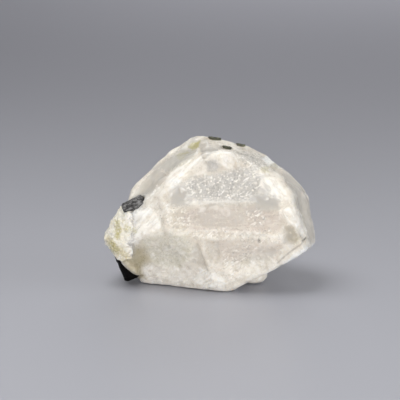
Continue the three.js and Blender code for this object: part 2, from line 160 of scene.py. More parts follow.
STONE_MARKS: dict[Layer, tuple[Mark, ...]] = {
    Layer.WHITE: (
        # The ridge on the left
        Mark((-69, 31, -58, 54, -35, 67, -15, 81, -4, 98, 6, 77, -4, 64, -23, 54, -42, 40,
             -58, 23), 1.0, 0.39),
        # A painted highlight at the top right
        Mark((119, 79, 131, 83, 152, 69, 146, 62, 129, 66), 0.8, 0.39),
        # The shoulder below it
        Mark((-85, 27, -66, 35, -58, 25, -62, 8, -58, -12, -71, -27, -92, -27, -104, -10, -96, 8),
             0.62, 0.77),
        # The left end
        Mark((-158, -37, -143, -21, -119, -17, -96, -21, -83, -29, -75, -42, -73, -56, -92, -62,
             -108, -71, -127, -85, -146, -83, -162, -62), 1.0, 0.77),
        # The dome
        Mark((12, 77, 23, 87, 42, 92, 60, 91, 71, 77, 75, 66), 1.0, 0.29, 0.46),
        Mark((39, 89, 60, 89, 69, 75, 62, 60, 50, 62, 40, 73), 0.9, 0.39),
        Mark((42, 85, 48, 69, 46, 56), 0.7, 0.39, 0.27),
        # Beside the dome
        Mark((-15, 66, 8, 77, 15, 66, 12, 48, -12, 48), 0.6, 0.58),
        # The upper right patch
        Mark((118, 44, 137, 48, 156, 33, 170, 13, 173, -6, 158, -2, 135, 10, 116, 27), 1.0, 0.58),
        Mark((108, 66, 125, 69, 137, 56, 131, 44, 114, 48), 0.7, 0.58),
        # The right-hand bulge
        Mark((154, -21, 168, -8, 183, -12, 195, -27, 198, -44, 206, -60, 208, -71, 197, -71,
             185, -54, 170, -42, 154, -37), 0.95, 0.58),
        # Edges of the middle ridge
        Mark((81, -66, 96, -60, 102, -69, 89, -75), 0.8, 0.39),
        Mark((100, -67, 119, -66, 131, -73, 116, -79, 102, -73), 0.8, 0.39),
        Mark((-15, -60, 12, -56, 31, -64, 12, -71, -12, -69), 0.3, 0.58),
        # The foot
        Mark((-19, -154, 0, -131, 27, -135, 54, -146, 50, -172, 10, -173), 1.0, 1.16),
        # The lower left face
        Mark((-116, -123, -67, -119, -19, -131, 0, -154, -39, -166, -96, -162, -119, -152), 0.6,
             1.16),
        Mark((-104, -77, -27, -69, -15, -96, -46, -119, -96, -119), 0.3, 1.16),
        Mark((69, -131, 119, -108, 173, -96, 204, -89, 185, -112, 119, -139, 77, -154), 0.5, 1.16),
        Mark((-50, -119, -31, -100, -19, -119, -23, -143, -42, -143), 0.35, 0.77),
        Mark((-23, -85, -8, -83, -2, -108, -6, -127, -19, -119), 0.4, 0.58),
        Mark((-31, 2, -15, 6, -4, -2, -8, -10, -25, -8), 0.8, 0.39),
        # The lower right edge
        Mark((25, -173, 50, -168, 73, -158, 119, -139, 162, -121, 193, -110), 0.6, 0.39, 0.31),
        # A healed crack
        Mark((60, 6, 73, 17, 89, 31), 0.8, 0.29, 0.19),
        # The back edge of the top
        Mark((13, 123, 31, 121, 50, 114, 66, 106, 89, 98), 0.7, 0.39, 0.31),
        Mark((35, 110, 54, 100, 73, 100), 0.7, 0.39, 0.35),
        Mark((-2, 98, -2, 85), 0.7, 0.39, 0.27),
        Mark((31, 85, 37, 71, 35, 58), 0.5, 0.39, 0.39),
        Mark((91, 66, 102, 50, 108, 31), 0.6, 0.39, 0.31),
        Mark((112, 19, 131, 8, 154, 0), 0.6, 0.39, 0.31),
    ),
    Layer.SPARKLE: (
        # The upper face
        Mark((-27, 37, 0, 46, 42, 48, 73, 62, 104, 62, 119, 39, 110, 12, 81, 0, 29, 0, -8, 2,
             -27, 15), 1.0, 0.96),
        # The middle ridge
        Mark((-27, -60, 39, -54, 89, -58, 135, -56, 162, -64, 156, -83, 119, -85, 77, -79, 19, -77,
             -23, -73), 0.65, 0.58),
        Mark((89, -21, 112, -15, 127, -29, 121, -50, 96, -54), 0.9, 0.58),
        Mark((42, -98, 92, -83, 108, -92, 89, -119, 77, -143, 46, -139), 0.8, 0.77),
        Mark((-96, -8, -66, -6, -35, -15, -15, -33, -19, -56, -46, -58, -69, -50, -85, -27), 0.75,
             0.77),
        # Round the upper tourmaline
        Mark((-158, -33, -135, -15, -100, -10, -92, -21, -116, -27, -143, -37), 0.9, 0.58),
        Mark((-166, -27, -125, -23, -114, -54, -123, -89, -170, -89), 0.6, 0.77),
        # The foot
        Mark((-8, -135, 69, -139, 85, -146, 50, -172, 8, -173, -23, -162), 0.6, 0.77),
        Mark((62, 96, 100, 92, 127, 81, 139, 66, 116, 54, 89, 66, 69, 77), 0.8, 0.58),
    ),
    Layer.PALE: (
        # The foot
        Mark((-116, -131, -67, -131, -15, -139, 23, -127, 69, -131, 119, -119, 119, -143, 77, -162,
             50, -175, 0, -175, -77, -168, -119, -158), 0.75, 2.31),
        # The lower right band
        Mark((131, -139, 177, -112, 227, -83, 220, -108, 185, -123, 139, -146), 0.7, 0.77),
        # The left rim
        Mark((-131, 8, -112, 42, -92, 58, -104, 31, -123, 0), 0.9, 0.96),
        # The left end
        Mark((-127, -23, -92, -12, -77, -31, -77, -50, -104, -58, -127, -54), 0.9, 0.96),
    ),
    Layer.GREY: (
        # The upper left rim
        Mark((-96, 60, -58, 83, -23, 114, -6, 121, 0, 106, -23, 87, -52, 69, -85, 50), 0.7, 0.77),
        Mark((-58, 25, -19, 42, 42, 52, 108, 66, 123, 39, 154, 4, 150, -15, 108, -6, 0, -6,
             -31, -12, -58, -8), 1.0, 1.16),
        Mark((12, 75, 29, 79, 39, 69, 33, 56, 15, 56), 1.0, 0.58),
        Mark((8, 102, 25, 102, 42, 98, 21, 89, 10, 77), 1.0, 0.58),
        Mark((166, 62, 193, 31, 208, 0, 227, -62, 224, -85, 208, -77, 197, -27, 177, 8), 0.3,
             0.77),
        Mark((69, 96, 119, 85, 135, 66, 100, 66, 73, 81), 0.6, 0.77),
        Mark((-77, 66, -46, 89, -15, 102, -8, 92, -37, 71, -66, 50), 0.8, 0.96),
        # The top
        Mark((8, 114, 42, 104, 89, 92, 119, 81, 96, 69, 42, 96, 12, 96), 0.5, 0.77),
    ),
    Layer.CLEAR: (
        Mark((-96, 60, -58, 83, -23, 114, -6, 121, 0, 106, -23, 87, -52, 69, -85, 50), 0.6, 0.77),
        # The left rim
        Mark((-131, 4, -116, 27, -96, 50, -81, 62, -66, 48, -77, 25, -96, 6, -116, -6), 0.9, 0.58),
        Mark((-81, 62, -48, 87, -23, 100, -6, 96, -15, 81, -37, 69, -62, 56), 0.8, 0.58),
        # The facet by the tooth
        Mark((-4, 114, 12, 118, 21, 102, 35, 96, 12, 83, 4, 77), 0.8, 0.39),
        # Windows of the upper face
        Mark((-58, 19, -44, 31, -29, 31, -19, 12, -31, -8, -56, -10), 1.0, 0.96),
        Mark((104, 8, 135, 10, 154, 0, 154, -17, 127, -23, 104, -17), 1.0, 0.77),
        # The right rim
        Mark((156, 64, 177, 56, 195, 31, 206, 8, 218, -23, 227, -62, 224, -85, 210, -89, 202, -62,
             197, -27, 177, -6, 175, 15, 162, 39), 0.9, 0.58),
        # The rosy band
        Mark((0, -8, 104, -4, 108, -19, 89, -27, 85, -54, 10, -56, -15, -42), 0.5, 0.77),
        # The lower left face
        Mark((-110, -77, -77, -60, -27, -62, -15, -77, -19, -104, -44, -121, -77, -119,
             -104, -104), 0.2, 0.77),
        # The smooth facet
        Mark((6, -79, 37, -79, 39, -119, 27, -131, 15, -127), 0.35, 0.39),
        # The hollow
        Mark((162, -50, 181, -54, 195, -73, 177, -91, 158, -85, 152, -69), 0.6, 0.77),
        Mark((100, -100, 119, -89, 145, -92, 146, -108, 119, -127, 96, -119), 0.6, 0.77),
        Mark((13, 73, 29, 77, 37, 62, 27, 50, 13, 54), 0.3, 0.58),
        Mark((-127, -127, -100, -119, -73, -131, -77, -158, -108, -156), 0.5, 0.77),
    ),
    Layer.ROSY: (
        Mark((-15, -15, 108, -12, 158, -27, 154, -62, 77, -64, -19, -60, -39, -35), 1.0, 1.16),
        Mark((-100, 56, -77, 67, -58, 58, -66, 35, -87, 25), 0.7, 0.96),
        Mark((31, -77, 119, -79, 158, -85, 143, -112, 85, -112, 42, -119), 0.7, 1.16),
        Mark((-121, -137, -81, -127, -67, -145, -96, -162, -118, -156), 0.8, 0.77),
        Mark((152, 62, 168, 62, 177, 39, 173, 19, 160, 35), 0.7, 0.58),
        Mark((118, -42, 135, -40, 137, -56, 121, -60), 0.6, 0.58),
        Mark((-2, 112, 12, 114, 17, 96, 6, 81, 0, 96), 0.6, 0.58),
    ),
    Layer.MOSSY: (
        Mark((-116, -79, -77, -64, -27, -66, -13, -96, -35, -131, -92, -127), 1.0, 1.16),
        Mark((-81, 60, -46, 85, -15, 96, -8, 85, -37, 64, -69, 46), 0.8, 0.96),
        Mark((77, -123, 119, -94, 146, -100, 123, -131, 89, -141), 0.6, 0.77),
        Mark((177, 8, 193, 0, 204, -39, 200, -62, 189, -27), 0.6, 0.77),
    ),
    Layer.OLIVE: (
        # The lip
        Mark((-162, -98, -146, -89, -127, -96, -110, -96, -102, -112, -114, -133, -104, -152,
             -121, -152, -139, -133, -156, -114), 1.0, 0.77),
        # The hollow
        Mark((164, -50, 181, -52, 197, -73, 187, -85, 168, -77), 0.5, 0.77),
        Mark((133, 67, 145, 73, 152, 64, 141, 56), 0.7, 0.39),
        Mark((-127, -89, -104, -92, -96, -119, -112, -127, -127, -112), 0.95, 1.16),
    ),
    Layer.STAIN: (
        # Beside the crust
        Mark((-135, -50, -123, -54, -118, -62, -129, -64), 0.3, 0.58),
        Mark((-23, 102, -17, 110, 0, 114, -2, 104, -15, 96), 1.0, 0.39),
        Mark((-46, 85, -27, 96, -21, 91, -39, 77), 0.5, 0.58),
        Mark((119, 62, 131, 64, 133, 54, 119, 54), 0.6, 0.58),
    ),
    Layer.COOL_AND_HIGHLIGHT: (
        # A painted highlight at the top right
        Mark((119, 81, 131, 85, 156, 69, 152, 62, 131, 66), 1.0, 0.39),
        # The lower right band
        Mark((152, -129, 177, -110, 204, -91, 224, -83, 216, -102, 193, -116, 162, -131), 0.9,
             0.58),
        Mark((-158, -33, -135, -19, -96, -12, -91, -25, -135, -35), 0.5, 0.58),
        Mark((-64, 35, -42, 46, -35, 39, -54, 19), 0.7, 0.58),
    ),
    Layer.DARK: (
        # Specks
        Mark((112, -76, 114, -74, 116, -79, 115, -83, 113, -81), 1.0, 0.19),
        Mark((62, -101, 65, -101, 65, -103, 63, -104), 0.7, 0.19),
        Mark((-33, -57, -30, -57, -30, -59, -33, -59), 0.6, 0.19),
        # The crack on the right
        Mark((150, -121, 164, -108, 179, -96, 193, -87, 200, -79), 0.55, 0.29, 0.19),
        Mark((198, -79, 204, -73), 1.0, 0.19, 0.23),
        # The cracks in the lower face
        Mark((-12, -83, -2, -83, 6, -108, 13, -135, 4, -127, -15, -119), 0.2, 0.58),
        Mark((-4, -85, 2, -100, 8, -119, 15, -137), 0.45, 0.29, 0.23),
        Mark((-96, -119, -83, -129, -66, -135), 0.35, 0.39, 0.15),
        Mark((4, 98, 6, 81), 0.5, 0.39, 0.19),
        Mark((71, 91, 91, 87, 112, 77), 0.4, 0.29, 0.15),
        Mark((73, 81, 96, 77), 0.4, 0.29, 0.15),
    ),
    Layer.RAISED: (
        # The left end
        Mark((-139, -23, -96, -23, -81, -42, -100, -66, -127, -85, -150, -89), 0.6, 0.96),
        # The ridge on the left
        Mark((-69, 31, -50, 46, -27, 60, 0, 81), 0.6, 0.96, 0.58),
        # The rim of the dome
        Mark((12, 75, 25, 89, 42, 94, 60, 91, 71, 75, 77, 62), 0.8, 0.58, 0.58),
        # The right-hand bulge
        Mark((156, -23, 170, -12, 185, -15, 195, -31, 198, -50, 185, -54, 166, -39), 0.6, 0.96),
        # The middle ridge
        Mark((-39, -60, 39, -60, 96, -64, 158, -71), 0.35, 0.77, 0.58),
        # The ledge below the upper face
        Mark((-8, -6, 50, -4, 108, -4), 0.3, 0.58, 0.39),
        Mark((119, 46, 143, 42, 162, 23, 173, 0), 0.4, 0.58, 0.39),
    ),
    Layer.SUNKEN: (
        # The upper face
        Mark((-19, 37, 42, 46, 104, 54, 116, 35, 104, 8, 29, 2, -8, 6), 0.45, 1.16),
        # The cracks in the lower face
        Mark((-6, -77, -2, -100, 6, -119, 13, -139), 0.3, 0.96, 0.58),
        # The hollow
        Mark((164, -54, 179, -54, 193, -71, 181, -83, 166, -77), 0.8, 0.96),
        # The smooth facet
        Mark((8, -81, 35, -81, 37, -119, 25, -127), 0.25, 0.58),
        # The crack on the right
        Mark((146, -125, 164, -108, 179, -96, 193, -87, 204, -73), 0.3, 0.58, 0.31),
        Mark((-56, 19, -40, 27, -27, 19, -31, -6, -52, -6), 0.15, 1.16),
        Mark((110, 4, 135, 6, 150, -4, 148, -15, 116, -15), 0.3, 0.77),
    ),
}

CRUST_MARKS: dict[Layer, tuple[Mark, ...]] = {
    Layer.STAIN: (
        Mark((-164, -39, -156, -39, -152, -58, -156, -77, -164, -73, -162, -56), 1.0, 0.58),
        Mark((-145, -52, -133, -48, -123, -54, -129, -62, -143, -60), 1.0, 0.58),
        Mark((-177, -79, -168, -79, -156, -94, -158, -104, -170, -100), 1.0, 0.58),
    ),
    Layer.GREY: (
        Mark((-185, -64, -173, -56, -166, -69, -170, -83, -183, -83), 0.8, 0.77),
        Mark((-158, -33, -143, -21, -127, -21, -135, -35, -150, -40), 0.6, 0.58),
    ),
    Layer.WHITE: (
        Mark((-164, -77, -146, -64, -123, -66, -127, -83, -146, -89, -162, -87), 1.0, 0.58),
        Mark((-187, -64, -170, -50, -164, -56, -177, -69, -185, -75), 0.8, 0.58),
    ),
    Layer.OLIVE: (
        # The underside
        Mark((-187, -69, -177, -83, -166, -98, -146, -114, -127, -121, -127, -108, -146, -96,
             -164, -83, -173, -69), 0.75, 0.77),
    ),
    Layer.COOL_AND_HIGHLIGHT: (
        # Towards the white of the stone
        Mark((-141, -23, -119, -15, -116, -119, -135, -108, -141, -89, -135, -62), 0.8, 1.16),
    ),
}


@dataclass(frozen=True)
class Sheet:
    """The leaning sheet that marks are drawn on, and how a piece takes them from it.

    What faces the sheet takes them in full. They fade as the surface turns away from it, and the
    back takes none.
    """

    middle: Point = MIDDLE
    lean: float = LEAN
    far: float = DISTANCE
    facing_gain: float = 3.5
    facing_start: float = 0.1

    def lay(self, piece: bpy.types.Object, marks: Marks) -> dict[Layer, np.ndarray]:
        """Lays marks on the points of a piece that face the sheet.

        Args:
            piece: the piece.
            marks: what is drawn.

        Returns:
            How far each layer covers each point.
        """
        place = Bench.points(piece) / MM - np.array(self.middle)
        lean = math.radians(self.lean)
        ahead = np.array([0, -math.cos(lean), math.sin(lean)])
        upward = np.array([0, math.sin(lean), math.cos(lean)])
        nearer = self.far / (self.far - place @ ahead)
        across, up = place[:, 0] * nearer, (place @ upward) * nearer
        facing = Bench.points(piece, "normal") @ ahead
        front = np.clip(facing * self.facing_gain + self.facing_start, 0, 1)
        covers = {layer: np.zeros(len(place)) for layer in Layer}
        for layer, drawn in marks.items():
            for mark in drawn:
                covers[layer] = np.maximum(covers[layer], mark.cover(across, up))
        return {layer: cover * front for layer, cover in covers.items()} | {Layer.FRONT: front}

    def paint(self, piece: bpy.types.Object, marks: Marks) -> None:
        """Stores the covers of a piece's marks as attributes for its material.

        Args:
            piece: the piece.
            marks: what is drawn.
        """
        for layer, cover in self.lay(piece, marks).items():
            if layer not in RELIEF_LAYERS:
                Bench.store(piece, layer.value, cover)

    def weigh(self, piece: bpy.types.Object, marks: Marks, layers: Sequence[Layer]) -> None:
        """Makes a vertex group of each of some layers.

        Args:
            piece: the piece.
            marks: what is drawn.
            layers: the layers that become groups.
        """
        covers = self.lay(piece, marks)
        for layer in layers:
            Bench.gather(piece, layer.value, covers[layer])


# Shader maths


class Value:
    """A number socket that Python's operators act on, each adding its Math node."""

    def __init__(self, recipe: Recipe, socket: bpy.types.NodeSocket) -> None:
        """Wraps a socket.

        Args:
            recipe: the recipe whose nodes the socket belongs to.
            socket: an output socket that carries a number.
        """
        self.recipe = recipe
        self.socket = socket

    def _math(self, operation: str, first: Number, second: Number) -> Value:
        """Adds a Math node.

        Args:
            operation: the node's operation.
            first: the first operand.
            second: the second operand.

        Returns:
            The node's result.
        """
        out = self.recipe.node("ShaderNodeMath", {"operation": operation}, [first, second])
        return Value(self.recipe, out.outputs[0])

    def __add__(self, other: Number) -> Value:
        """Sum."""
        return self._math("ADD", self, other)

    __radd__ = __add__

    def __sub__(self, other: Number) -> Value:
        """Difference."""
        return self._math("SUBTRACT", self, other)

    def __rsub__(self, other: Number) -> Value:
        """Difference the other way round."""
        return self._math("SUBTRACT", other, self)

    def __mul__(self, other: Number) -> Value:
        """Product."""
        return self._math("MULTIPLY", self, other)

    __rmul__ = __mul__

    def at_least(self, other: Number) -> Value:
        """The larger of the two."""
        return self._math("MAXIMUM", self, other)

    def at_most(self, other: Number) -> Value:
        """The smaller of the two."""
        return self._math("MINIMUM", self, other)

    def ramp(self, low: float, high: float, to_low: float = 0.0, to_high: float = 1.0) -> Value:
        """Maps a range smoothly onto another, held at its ends.

        Args:
            low: the input that gives to_low.
            high: the input that gives to_high.
            to_low: the result at low.
            to_high: the result at high.

        Returns:
            The mapped number.
        """
        if low > high:
            low, high, to_low, to_high = high, low, to_high, to_low
        out = self.recipe.node(
            "ShaderNodeMapRange",
            {"interpolation_type": "SMOOTHSTEP"},
            {"Value": self, "From Min": low, "From Max": high, "To Min": to_low, "To Max": to_high},
        )
        return Value(self.recipe, out.outputs["Result"])


Number = Union[float, Value]
Socket = bpy.types.NodeSocket
Tone = Union[Colour, Socket]


@dataclass(frozen=True)
class Cells:
    """A pattern of cells: their size in millimetres, how far they are drawn out and their turn."""

    size: float
    stretch: Point = NO_STRETCH
    turn: Point = NO_TURN


@dataclass(frozen=True)
class Noise:
    """Soft noise: the size of its blotches in millimetres, its finer layers and its axes.

    The finer layers have a number and a strength, and the warp bends the whole. The axes have a
    stretch each, a turn in degrees and a shift along X in millimetres.
    """

    size: float
    detail: float
    rough: float
    warp: float = 0.0
    stretch: Point = NO_STRETCH
    turn: Point = NO_TURN
    shift: float = 0.0


@dataclass(frozen=True)
class Optics:
    """How a material takes light.

    That is its refraction, the share that passes through it, the share that scatters in it with
    the tint and the depth in millimetres, and its shine.
    """

    refraction: float = 1.5
    passing: float = 0.0
    scatter: float = 0.0
    tint: Point = (1.0, 1.0, 1.0)
    depth: float = 1.0
    shine: float = 0.5


class Recipe:
    """A material and the nodes that it is made of."""

    def __init__(self, name: str) -> None:
        """Starts an empty material.

        Args:
            name: the material's name.
        """
        self.material = bpy.data.materials.new(name)
        self.material.use_nodes = True
        self.tree = self.material.node_tree
        self.tree.nodes.clear()
        coordinate = self.node("ShaderNodeTexCoord", {}, {})
        self.here = self.node(
            "ShaderNodeVectorMath",
            {"operation": "SCALE"},
            {"Vector": coordinate.outputs["Object"], "Scale": 1 / MM},
        ).outputs["Vector"]

    def node(
        self,
        kind: str,
        settings: dict[str, object],
        values: Union[dict[object, object], Sequence[object]],
    ) -> bpy.types.Node:
        """Adds a node.

        Args:
            kind: the node's type.
            settings: its properties, set first.
            values: numbers, colours, Values or output sockets for its inputs, by name or in order.

        Returns:
            The new node.
        """
        node = self.tree.nodes.new(kind)
        for key, setting in settings.items():
            setattr(node, key, setting)
        pairs = values.items() if isinstance(values, dict) else enumerate(values)
        for key, value in pairs:
            socket = node.inputs[key]
            if isinstance(value, Value):
                self.tree.links.new(value.socket, socket)
            elif isinstance(value, Socket):
                self.tree.links.new(value, socket)
            elif isinstance(value, tuple) and len(value) == 3 and socket.type == "RGBA":
                socket.default_value = (*value, 1.0)
            else:
                socket.default_value = value
        return node

    def place(self, stretch: Point, turn: Point, shift: float = 0.0) -> Socket:
        """The place on the object in millimetres, for a pattern that is turned and drawn out.

        Args:
            stretch: how far the pattern is drawn out along each of its own axes.
            turn: the turn of those axes about X, Y and Z, in degrees.
            shift: how far the pattern is moved along X.

        Returns:
            A vector socket.
        """
        if (stretch, turn, shift) == (NO_STRETCH, NO_TURN, 0.0):
            return self.here
        values = {
            "Vector": self.here,
            "Location": (shift, 0.0, 0.0),
            "Rotation": tuple(math.radians(t) for t in turn),
            "Scale": stretch,
        }
        return self.node("ShaderNodeMapping", {"vector_type": "TEXTURE"}, values).outputs["Vector"]

    def along(self, axis: str) -> Value:
        """The place on the object along X, Y or Z, in millimetres."""
        return Value(self, self.node("ShaderNodeSeparateXYZ", {}, [self.here]).outputs[axis])

    def noise(self, noise: Noise) -> Value:
        """Adds soft noise.

        Args:
            noise: what it is like.

        Returns:
            The noise, from 0 to 1.
        """
        values = {
            "Vector": self.place(noise.stretch, noise.turn, noise.shift),
            "Scale": 1 / noise.size,
            "Detail": noise.detail,
            "Roughness": noise.rough,
            "Distortion": noise.warp,
        }
        return Value(self, self.node("ShaderNodeTexNoise", {}, values).outputs[0])

    def cells(self, cells: Cells, output: str = "Color") -> Value:
        """Adds a cell pattern.

        Args:
            cells: what it is like.
            output: Color for one random tone in each cell, Distance for that from its middle.

        Returns:
            The chosen output.
        """
        values = {"Vector": self.place(cells.stretch, cells.turn), "Scale": 1 / cells.size}
        node = self.node("ShaderNodeTexVoronoi", {"feature": "F1"}, values)
        return Value(self, node.outputs[output])

    def attribute(self, name: str) -> Value:
        """The number that the mesh stores under a name."""
        drawn = self.node("ShaderNodeAttribute", {"attribute_name": name}, {})
        return Value(self, drawn.outputs["Fac"])

    def cover(self, layer: Layer, ragged: Value | None = None) -> Value:
        """How far a layer of marks covers the surface.

        Args:
            layer: the layer.
            ragged: noise about 0 that frays the marks' edges.

        Returns:
            The cover, from 0 to 1.
        """
        cover = self.attribute(layer.value)
        if ragged is None:
            return cover
        edge = cover.ramp(0.0, FRAY) * (1 - cover.ramp(1 - FRAY, 1.0))
        return (cover + ragged * edge).at_least(0.0).at_most(1.0)

    def coat(self, colour: Tone, *coats: tuple[Tone, Number]) -> Tone:
        """Lays colours over one another in turn.

        Args:
            colour: the colour below them all.
            *coats: each colour and how far it covers what is below it, from 0 to 1.

        Returns:
            The colour on top.
        """
        settings = {"data_type": "RGBA", "blend_type": "MIX", "clamp_factor": True}
        for over, mask in coats:
            mixed = self.node("ShaderNodeMix", settings, {0: mask, 6: colour, 7: over})
            colour = mixed.outputs[2]
        return colour

    def bump(self, height: Value, depth: float, under: Socket | None = None) -> Socket:
        """Relief that is finer than the mesh.

        Args:
            height: the relief, from 0 to 1.
            depth: how deep it is, in millimetres.
            under: a coarser relief's normal, if any.

        Returns:
            A normal socket.
        """
        values = {"Distance": depth * MM, "Height": height}
        if under is not None:
            values["Normal"] = under
        return self.node("ShaderNodeBump", {}, values).outputs["Normal"]

    def surface(
        self, optics: Optics, colour: Tone, rough: Number, relief: Socket | None = None
    ) -> Socket:
        """Adds a surface shader.

        Args:
            optics: how it takes light.
            colour: its colour.
            rough: its roughness.
            relief: its normal, if it has relief.

        Returns:
            The shader.
        """
        values = {
            "Base Color": colour,
            "Roughness": rough,
            "IOR": optics.refraction,
            "Transmission Weight": optics.passing,
            "Subsurface Weight": optics.scatter,
            "Subsurface Radius": optics.tint,
            "Subsurface Scale": optics.depth * MM,
            "Specular IOR Level": optics.shine,
        }
        if relief is not None:
            values["Normal"] = relief
        return self.node("ShaderNodeBsdfPrincipled", {}, values).outputs[0]

    def merge(self, share: Value, first: Socket, second: Socket) -> Socket:
        """Mixes two shaders.

        Args:
            share: how much of the second shows, from 0 to 1.
            first: the first shader.
            second: the second shader.

        Returns:
            The mixed shader.
        """
        return self.node("ShaderNodeMixShader", {}, [share, first, second]).outputs[0]

    def finish(self, shader: Socket) -> bpy.types.Material:
        """Connects the surface shader.

        Args:
            shader: the shader.

        Returns:
            The finished material.
        """
        self.node("ShaderNodeOutputMaterial", {}, {"Surface": shader})
        return self.material


# The finishes


@dataclass(frozen=True)
class TopazFinish:
    """Rough topaz: milky, fractured white, etched grey and clear by turns, with a painted highlight
    at the top right.
    """

    white: Colour = (0.955, 0.93, 0.885)
    pale: Colour = (0.95, 0.90, 0.825)
    cream: Colour = (0.79, 0.75, 0.675)
    beige: Colour = (0.655, 0.605, 0.53)
    rosy: Colour = (0.62, 0.555, 0.505)
    grey: Colour = (0.57, 0.56, 0.545)
    glass: Colour = (0.80, 0.775, 0.725)
    shade: Colour = (0.40, 0.385, 0.375)
    mossy: Colour = (0.655, 0.63, 0.53)
    olive: Colour = (0.36, 0.31, 0.18)
    stain: Colour = (0.50, 0.46, 0.17)
    # Cool tints of the stone, and the colour of the painted highlight at the top right
    cool_and_highlight: Colour = (0.88, 0.915, 0.92)
    dark: Colour = (0.05, 0.045, 0.035)
    clear: Colour = (0.97, 0.955, 0.93)

    milky_optics: Optics = Optics(1.62, 0.1, 0.8, (1.0, 0.94, 0.84), 3.0)
    chalky_optics: Optics = Optics(1.55, 0.0, 0.6, (1.0, 0.95, 0.86), 1.6)
    glassy_optics: Optics = Optics(1.62, 1.0)
    glassy_rough: float = 0.2

    fray: Noise = Noise(1.1, 4, 0.65, 0.3)
    fray_strength: float = 2.6
    mottle: Noise = Noise(2.6, 5, 0.62, 0.5)
    broad: Noise = Noise(7.0, 4, 0.6, 0.6)
    other: Noise = Noise(5.2, 4, 0.6, 0.6, shift=40.0)
    fine: Noise = Noise(0.5, 4, 0.7)
    rising: Noise = Noise(0.7, 4, 0.6, 0.5, (5.0, 1.5, 1.0), (0, -42, 0))
    falling: Noise = Noise(0.7, 4, 0.6, 0.5, (3.5, 1.5, 1.0), (0, 52, 0))
    rising_to: float = -3.0
    falling_from: float = 6.0
    level: Noise = Noise(0.45, 3, 0.6, 0.3, (7.0, 1.5, 1.0), (0, 4, 0))
    grit: Cells = Cells(0.28)
    strokes: Cells = Cells(0.26, (6.0, 1.0, 1.0), (0, -38, 0))
    pepper: Cells = Cells(0.45)
    patches: Cells = Cells(1.3, turn=(20, 30, 10))
    facets: Cells = Cells(1.3)

    facet_depth: float = 0.08
    fibre_depth: float = 0.35
    etched_depth: float = 0.1
    pit_depth: float = 0.08

    def material(self) -> bpy.types.Material:
        """Builds the material.

        Returns:
            A mixture of milky, white and clear topaz.
        """
        r = Recipe("topaz")
        ragged = (r.noise(self.fray) - 0.5) * self.fray_strength
        back = 1 - r.cover(Layer.FRONT)
        mottle, broad, other, fine = map(r.noise, (self.mottle, self.broad, self.other, self.fine))
        grit = r.cells(self.grit)
        across = r.along("X").ramp(self.rising_to, self.falling_from)
        fibres = r.noise(self.rising) * (1 - across) + r.noise(self.falling) * across

        # Where each kind of stone lies: drawn on the front, by noise on the back
        proud = r.attribute(ARRIS) + (mottle - 0.5) * 0.3
        edge, hollow = proud.ramp(0.05, 0.25), proud.ramp(-0.05, -0.22)
        white = r.cover(Layer.WHITE, ragged).at_least(broad.ramp(0.56, 0.64) * back)
        white = white.at_least(edge * back.ramp(0.0, 1.0, 0.3, 0.9))
        white = white * fibres.ramp(0.38, 0.56, 0.35, 1.0)
        sparkle = r.cover(Layer.SPARKLE, ragged).at_least(other.ramp(0.54, 0.62) * back * 0.7)
        window = r.cover(Layer.CLEAR, ragged * 0.5).at_least(
            broad.ramp(0.45, 0.38).at_least(hollow * 0.8) * back
        )
        grey = r.cover(Layer.GREY).at_least(other.ramp(0.48, 0.62) * back * 0.5)
        rosy = r.cover(Layer.ROSY).at_least(broad.ramp(0.5, 0.42) * back)
        moss = r.cover(Layer.MOSSY).at_least(other.ramp(0.42, 0.32) * back * 0.8)
        dark = r.cover(Layer.DARK) * fine.ramp(0.4, 0.56, 0.5, 1.0)
        lines = r.noise(self.level).ramp(0.5, 0.6)
        flecks = (grit.ramp(0.62, 0.9) + r.cells(self.strokes).ramp(0.72, 0.9)).at_most(1.0)
        flecks = flecks * sparkle
        holes = grit.ramp(0.35, 0.1) * sparkle * (1 - back * 0.7)
        pepper = r.cells(self.pepper).ramp(0.80, 0.86) * (1 - across)
        pepper = pepper * (sparkle * r.cover(Layer.COOL_AND_HIGHLIGHT)).ramp(0.1, 0.4)

        colour = r.coat(
            self.beige,
            (self.cream, mottle.ramp(0.36, 0.66)),
            (self.mossy, moss * 0.8),
            (self.rosy, rosy * 0.8),
            (self.grey, grey * 0.8),
            (self.glass, window * 0.55),
            (self.pale, r.cover(Layer.PALE, ragged * 0.4) * mottle.ramp(0.35, 0.6, 0.25, 0.9)),
            (self.cream, lines * (rosy * 0.5).at_least(0.25)),
            (self.shade, holes * 0.6),
            (self.white, flecks * 0.85),
            # The cool layer: cool tints, and a painted highlight at the top right
            (self.cool_and_highlight, r.cover(Layer.COOL_AND_HIGHLIGHT, ragged) * 0.8),
            # The white layer: white fractures, and the painted highlight at the top right
            (self.white, white * r.cells(self.patches).ramp(0.0, 1.0, 0.62, 1.0)),
            (self.olive, r.cover(Layer.OLIVE) * mottle.ramp(0.3, 0.6, 0.4, 0.8)),
            (self.stain, r.cover(Layer.STAIN, ragged) * mottle.ramp(0.3, 0.6, 0.4, 0.9)),
            (self.dark, dark.at_least(pepper * 0.6)),
        )

        facets = r.bump(r.cells(self.facets, "Distance"), self.facet_depth)
        drawn = r.bump(fibres * white, self.fibre_depth, facets)
        etched = r.bump(grit * sparkle, self.etched_depth, drawn)
        pitted = r.bump(fine * (1 - window), self.pit_depth, etched)

        rough = fine.ramp(0.3, 0.7, 0.24, 0.42) * (1 - (sparkle * 0.4).at_least(window * 0.6))
        milky = r.surface(self.milky_optics, colour, rough, pitted)
        chalky = r.surface(self.chalky_optics, colour, fine.ramp(0.3, 0.7, 0.4, 0.6), pitted)
        glassy = r.surface(self.glassy_optics, self.clear, self.glassy_rough, facets)
        solid = (white + flecks * 0.4).at_most(1.0)
        clearness = window * 0.26 * (1 - solid) * (1 - dark)
        return r.finish(r.merge(clearness, r.merge(solid, milky, chalky), glassy))


